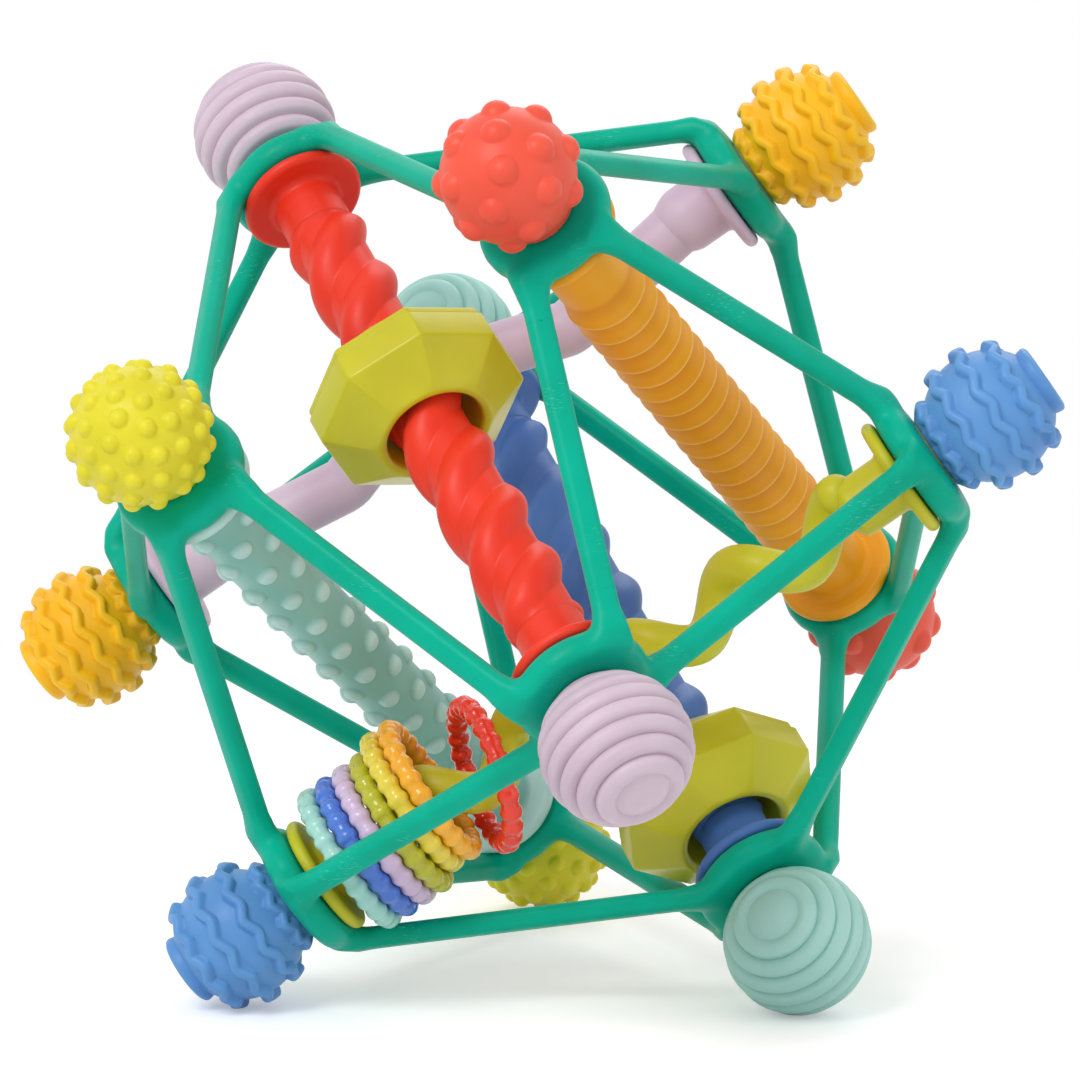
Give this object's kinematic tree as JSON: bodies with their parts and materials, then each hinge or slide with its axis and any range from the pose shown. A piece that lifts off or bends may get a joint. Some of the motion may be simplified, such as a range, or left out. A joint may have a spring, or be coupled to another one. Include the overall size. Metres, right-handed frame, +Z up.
{
  "type": "teether rattle",
  "caption": "Squeezable teether rattle ball: textured rods held apart in an elastic net, a textured ball on each rod end, hollow rattle beads and beaded rings on the rods.",
  "frame": {"origin": "on the floor under the middle of the toy, between the three balls that it stands on", "axes": "+Z up; the picture looks along +Y, with +X to its right"},
  "size_m": [0.1564, 0.163, 0.1365],
  "materials": {
    "net": "satin elastomer",
    "bead": "polished plastic",
    "pellet": "polished plastic",
    "red_rod": "satin soft-touch plastic",
    "blue_rod": "satin soft-touch plastic",
    "orange_rod": "satin soft-touch plastic",
    "mint_rod": "satin soft-touch plastic",
    "lilac_rod": "satin soft-touch plastic",
    "lime_rod": "satin soft-touch plastic",
    "lilac_ball": "satin soft-touch plastic",
    "mint_ball": "satin soft-touch plastic",
    "coral_ball": "satin soft-touch plastic",
    "yellow_ball": "satin soft-touch plastic",
    "orange_ball": "satin soft-touch plastic",
    "blue_ball": "satin soft-touch plastic",
    "mint_ring": "satin elastomer",
    "blue_ring": "satin elastomer",
    "lilac_ring": "satin elastomer",
    "olive_ring": "satin elastomer",
    "yellow_ring": "satin elastomer",
    "orange_ring": "satin elastomer",
    "red_ring": "satin elastomer"
  },
  "bodies": {
    "net": {"orange_eye_upper": "net", "orange_eye_lower": "net", "mint_eye_upper": "net", "mint_eye_lower": "net", "lilac_eye_upper": "net", "lilac_eye_lower": "net", "lime_eye_upper": "net", "lime_eye_lower": "net", "red_straps": "net", "blue_straps": "net", "side_straps": "net"},
    "red_press": {"red_eye_upper": "net", "red_eye_lower": "net"},
    "blue_press": {"blue_eye_upper": "net", "blue_eye_lower": "net"},
    "red_rod": {"red_rod": "red_rod", "lilac_ball_upper": "lilac_ball", "lilac_ball_lower": "lilac_ball"},
    "blue_rod": {"blue_rod": "blue_rod", "mint_ball_upper": "mint_ball", "mint_ball_lower": "mint_ball"},
    "orange_rod": {"orange_rod": "orange_rod", "coral_ball_upper": "coral_ball", "coral_ball_lower": "coral_ball"},
    "mint_rod": {"mint_rod": "mint_rod", "yellow_ball_upper": "yellow_ball", "yellow_ball_lower": "yellow_ball"},
    "lilac_rod": {"lilac_rod": "lilac_rod", "orange_ball_upper": "orange_ball", "orange_ball_lower": "orange_ball"},
    "lime_rod": {"lime_rod": "lime_rod", "blue_ball_upper": "blue_ball", "blue_ball_lower": "blue_ball"},
    "red_bead": {"red_bead_upper_half": "bead", "red_bead_lower_half": "bead", "red_bead_pellets": "pellet"},
    "blue_bead": {"blue_bead_upper_half": "bead", "blue_bead_lower_half": "bead", "blue_bead_pellets": "pellet"},
    "mint_ring": {"mint_ring": "mint_ring"},
    "blue_ring": {"blue_ring": "blue_ring"},
    "lilac_ring": {"lilac_ring": "lilac_ring"},
    "olive_ring": {"olive_ring": "olive_ring"},
    "yellow_ring": {"yellow_ring": "yellow_ring"},
    "orange_ring": {"orange_ring": "orange_ring"},
    "red_ring": {"red_ring": "red_ring"}
  },
  "joints": [
    {"name": "red_squeeze", "type": "slide", "parent": "net", "child": "red_press", "axis": [0.4266, 0.6962, -0.5774], "range_m": [0, 0.007], "stiffness_N_per_m": 1000, "deforming": ["red_straps"]},
    {"name": "blue_squeeze", "type": "slide", "parent": "net", "child": "blue_press", "axis": [-0.4266, -0.6962, 0.5774], "range_m": [0, 0.007], "stiffness_N_per_m": 1000, "deforming": ["blue_straps"]},
    {"name": "red_rod_spin", "type": "hinge", "parent": "red_press", "child": "red_rod", "pos_m": [-0.01365, -0.02228, 0.08673], "axis": [-0.3896, 0.7176, 0.5774], "continuous": true},
    {"name": "blue_rod_spin", "type": "hinge", "parent": "blue_press", "child": "blue_rod", "pos_m": [0.01365, 0.02228, 0.04978], "axis": [-0.3896, 0.7176, 0.5774], "continuous": true},
    {"name": "orange_rod_spin", "type": "hinge", "parent": "net", "child": "orange_rod", "pos_m": [0.02612, -0.00068, 0.08673], "axis": [-0.4266, -0.6962, 0.5774], "continuous": true},
    {"name": "mint_rod_spin", "type": "hinge", "parent": "net", "child": "mint_rod", "pos_m": [-0.02612, 0.00068, 0.04978], "axis": [-0.4266, -0.6962, 0.5774], "continuous": true},
    {"name": "lilac_rod_spin", "type": "hinge", "parent": "net", "child": "lilac_rod", "pos_m": [-0.01247, 0.02296, 0.08673], "axis": [0.8162, -0.0214, 0.5773], "continuous": true},
    {"name": "lime_rod_spin", "type": "hinge", "parent": "net", "child": "lime_rod", "pos_m": [0.01247, -0.02296, 0.04978], "axis": [0.8162, -0.0214, 0.5773], "continuous": true},
    {"name": "red_bead_slide", "type": "slide", "parent": "red_press", "child": "red_bead", "axis": [-0.3896, 0.7176, 0.5774], "range_m": [-0.044, 0.0305]},
    {"name": "blue_bead_slide", "type": "slide", "parent": "blue_press", "child": "blue_bead", "axis": [-0.3896, 0.7176, 0.5774], "range_m": [-0.0005, 0.074]},
    {"name": "mint_ring_slide", "type": "slide", "parent": "net", "child": "mint_ring", "axis": [0.8162, -0.0214, 0.5773], "range_m": [0, 0.0094]},
    {"name": "blue_ring_slide", "type": "slide", "parent": "mint_ring", "child": "blue_ring", "axis": [0.8162, -0.0214, 0.5773], "range_m": [0, 0.0094]},
    {"name": "lilac_ring_slide", "type": "slide", "parent": "blue_ring", "child": "lilac_ring", "axis": [0.8162, -0.0214, 0.5773], "range_m": [0, 0.0094]},
    {"name": "olive_ring_slide", "type": "slide", "parent": "lilac_ring", "child": "olive_ring", "axis": [0.8162, -0.0214, 0.5773], "range_m": [0, 0.0094]},
    {"name": "yellow_ring_slide", "type": "slide", "parent": "olive_ring", "child": "yellow_ring", "axis": [0.8162, -0.0214, 0.5773], "range_m": [0, 0.0094]},
    {"name": "orange_ring_slide", "type": "slide", "parent": "yellow_ring", "child": "orange_ring", "axis": [0.8162, -0.0214, 0.5773], "range_m": [0, 0.0094]},
    {"name": "red_ring_slide", "type": "slide", "parent": "orange_ring", "child": "red_ring", "axis": [0.8162, -0.0214, 0.5773], "range_m": [0, 0.0094]}
  ],
  "couplings": [
    {"joint": "blue_squeeze", "follows": "red_squeeze", "ratio": 1}
  ]
}
